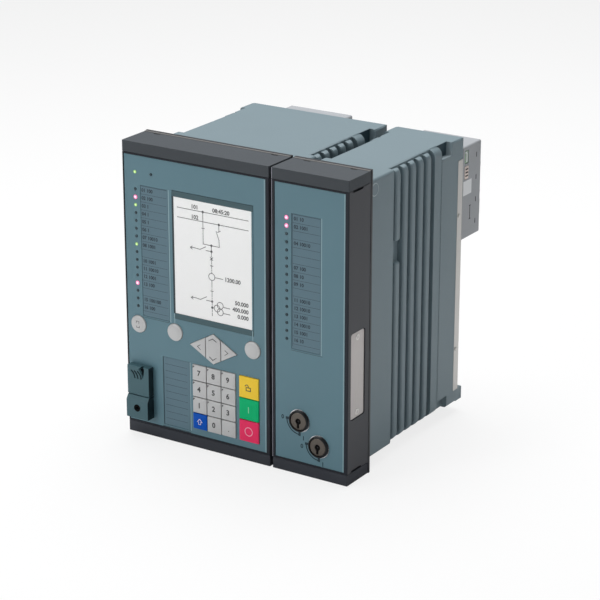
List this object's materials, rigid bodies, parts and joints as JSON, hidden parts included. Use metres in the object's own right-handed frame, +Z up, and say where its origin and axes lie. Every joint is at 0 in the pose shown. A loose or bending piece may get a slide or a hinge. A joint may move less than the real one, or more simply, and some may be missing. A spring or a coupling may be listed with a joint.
{
  "type": "protection relay",
  "caption": "Rack-height numerical protection relay: a base module with screen, keypad and status lights beside a narrow expansion module with key switches, both with finned cast housings.",
  "frame": {"origin": "centre of the underside of the whole unit's box, halfway between its front and its rear connectors", "axes": "+Z up, +Y from the operating front to the rear connectors, +X to the right seen from the front"},
  "size_m": [0.225, 0.235, 0.266],
  "materials": {
    "bezel_plastic": "fine-grained matt moulding",
    "cap_plastic": "fine-grained matt moulding",
    "flange_sheet": "dark powder coat",
    "housing_cast": "satin grey-blue coat on a casting",
    "bare_sheet": "plain rolled sheet",
    "panel_teal": "fine matt film",
    "screen": "anti-glare screen",
    "light_lens": "clear moulded pins",
    "label_film": "matt film",
    "lock_ring": "satin moulding",
    "lock_barrel": "dark plated metal",
    "port_plastic": "matt moulding",
    "socket_metal": "plated sheet",
    "terminal_plastic": "matt grey moulding",
    "mat_rubber": "soft moulding",
    "circuit_board": "green solder mask",
    "key_silver": "satin silver lacquer",
    "key_blue": "satin",
    "key_yellow": "satin",
    "key_green": "satin",
    "key_red": "satin"
  },
  "bodies": {
    "unit": {"base_bezel": "bezel_plastic", "expansion_bezel": "bezel_plastic", "base_top_cap": "cap_plastic", "base_bottom_cap": "cap_plastic", "expansion_top_cap": "cap_plastic", "expansion_bottom_cap": "cap_plastic", "base_flange": "flange_sheet", "expansion_flange": "flange_sheet", "base_housing": "housing_cast", "expansion_housing": "housing_cast", "base_rear_plate": "bare_sheet", "expansion_rear_plate": "bare_sheet", "side_cover_plate": "bare_sheet", "base_front_panel": "panel_teal", "expansion_front_panel": "panel_teal", "display_module": "screen", "base_light_guide": "light_lens", "expansion_light_guide": "light_lens", "base_label_strip": "label_film", "expansion_label_strip": "label_film", "function_label_strip": "label_film", "lock_body_1": "lock_ring", "lock_body_2": "lock_ring", "service_port_housing": "port_plastic", "service_socket": "socket_metal", "base_voltage_terminal": "terminal_plastic", "base_current_terminal": "terminal_plastic", "expansion_voltage_terminal": "terminal_plastic", "module_link": "terminal_plastic", "network_module": "socket_metal", "key_mat": "mat_rubber", "display_board": "circuit_board", "led_board": "circuit_board", "processor_board": "circuit_board", "input_output_board": "circuit_board", "expansion_board": "circuit_board"},
    "key_0": {"key_0": "key_silver"},
    "key_1": {"key_1": "key_silver"},
    "key_2": {"key_2": "key_silver"},
    "key_3": {"key_3": "key_silver"},
    "key_4": {"key_4": "key_silver"},
    "key_5": {"key_5": "key_silver"},
    "key_6": {"key_6": "key_silver"},
    "key_7": {"key_7": "key_silver"},
    "key_8": {"key_8": "key_silver"},
    "key_9": {"key_9": "key_silver"},
    "key_point": {"key_point": "key_silver"},
    "key_fn": {"key_fn": "key_blue"},
    "key_ctrl": {"key_ctrl": "key_yellow"},
    "key_close": {"key_close": "key_green"},
    "key_open": {"key_open": "key_red"},
    "key_select": {"key_select": "key_silver"},
    "soft_key_left": {"soft_key_left": "key_silver"},
    "soft_key_right": {"soft_key_right": "key_silver"},
    "nav_left": {"nav_left": "key_silver"},
    "nav_right": {"nav_right": "key_silver"},
    "nav_rocker": {"nav_rocker": "key_silver"},
    "lock_barrel_1": {"lock_barrel_1": "lock_barrel"},
    "lock_barrel_2": {"lock_barrel_2": "lock_barrel"},
    "service_port_flap": {"service_port_flap": "port_plastic"}
  },
  "joints": [
    {"name": "press_0", "type": "slide", "parent": "unit", "child": "key_0", "axis": [0, 1, 0], "range_m": [0, 0.0006], "stiffness_N_per_m": 800},
    {"name": "press_1", "type": "slide", "parent": "unit", "child": "key_1", "axis": [0, 1, 0], "range_m": [0, 0.0006], "stiffness_N_per_m": 800},
    {"name": "press_2", "type": "slide", "parent": "unit", "child": "key_2", "axis": [0, 1, 0], "range_m": [0, 0.0006], "stiffness_N_per_m": 800},
    {"name": "press_3", "type": "slide", "parent": "unit", "child": "key_3", "axis": [0, 1, 0], "range_m": [0, 0.0006], "stiffness_N_per_m": 800},
    {"name": "press_4", "type": "slide", "parent": "unit", "child": "key_4", "axis": [0, 1, 0], "range_m": [0, 0.0006], "stiffness_N_per_m": 800},
    {"name": "press_5", "type": "slide", "parent": "unit", "child": "key_5", "axis": [0, 1, 0], "range_m": [0, 0.0006], "stiffness_N_per_m": 800},
    {"name": "press_6", "type": "slide", "parent": "unit", "child": "key_6", "axis": [0, 1, 0], "range_m": [0, 0.0006], "stiffness_N_per_m": 800},
    {"name": "press_7", "type": "slide", "parent": "unit", "child": "key_7", "axis": [0, 1, 0], "range_m": [0, 0.0006], "stiffness_N_per_m": 800},
    {"name": "press_8", "type": "slide", "parent": "unit", "child": "key_8", "axis": [0, 1, 0], "range_m": [0, 0.0006], "stiffness_N_per_m": 800},
    {"name": "press_9", "type": "slide", "parent": "unit", "child": "key_9", "axis": [0, 1, 0], "range_m": [0, 0.0006], "stiffness_N_per_m": 800},
    {"name": "press_point", "type": "slide", "parent": "unit", "child": "key_point", "axis": [0, 1, 0], "range_m": [0, 0.0006], "stiffness_N_per_m": 800},
    {"name": "press_fn", "type": "slide", "parent": "unit", "child": "key_fn", "axis": [0, 1, 0], "range_m": [0, 0.0006], "stiffness_N_per_m": 800},
    {"name": "press_ctrl", "type": "slide", "parent": "unit", "child": "key_ctrl", "axis": [0, 1, 0], "range_m": [0, 0.0006], "stiffness_N_per_m": 800},
    {"name": "press_close", "type": "slide", "parent": "unit", "child": "key_close", "axis": [0, 1, 0], "range_m": [0, 0.0006], "stiffness_N_per_m": 800},
    {"name": "press_open", "type": "slide", "parent": "unit", "child": "key_open", "axis": [0, 1, 0], "range_m": [0, 0.0006], "stiffness_N_per_m": 800},
    {"name": "press_select", "type": "slide", "parent": "unit", "child": "key_select", "axis": [0, 1, 0], "range_m": [0, 0.0006], "stiffness_N_per_m": 800},
    {"name": "press_soft_left", "type": "slide", "parent": "unit", "child": "soft_key_left", "axis": [0, 1, 0], "range_m": [0, 0.0006], "stiffness_N_per_m": 800},
    {"name": "press_soft_right", "type": "slide", "parent": "unit", "child": "soft_key_right", "axis": [0, 1, 0], "range_m": [0, 0.0006], "stiffness_N_per_m": 800},
    {"name": "press_nav_left", "type": "slide", "parent": "unit", "child": "nav_left", "axis": [0, 1, 0], "range_m": [0, 0.0006], "stiffness_N_per_m": 800},
    {"name": "press_nav_right", "type": "slide", "parent": "unit", "child": "nav_right", "axis": [0, 1, 0], "range_m": [0, 0.0006], "stiffness_N_per_m": 800},
    {"name": "rock_nav", "type": "hinge", "parent": "unit", "child": "nav_rocker", "pos_m": [-0.0209, -0.1065, 0.0952], "axis": [1, 0, 0], "range_deg": [-2.4, 2.4], "stiffness_Nm_per_rad": 0.5},
    {"name": "turn_lock_1", "type": "hinge", "parent": "unit", "child": "lock_barrel_1", "pos_m": [0.0655, -0.1084, 0.0493], "axis": [0, 1, 0], "range_deg": [0, 90]},
    {"name": "turn_lock_2", "type": "hinge", "parent": "unit", "child": "lock_barrel_2", "pos_m": [0.0846, -0.1084, 0.0301], "axis": [0, 1, 0], "range_deg": [0, 90]},
    {"name": "open_flap", "type": "hinge", "parent": "unit", "child": "service_port_flap", "pos_m": [-0.0965, -0.1142, 0.0399], "axis": [1, 0, 0], "range_deg": [0, 110]}
  ]
}
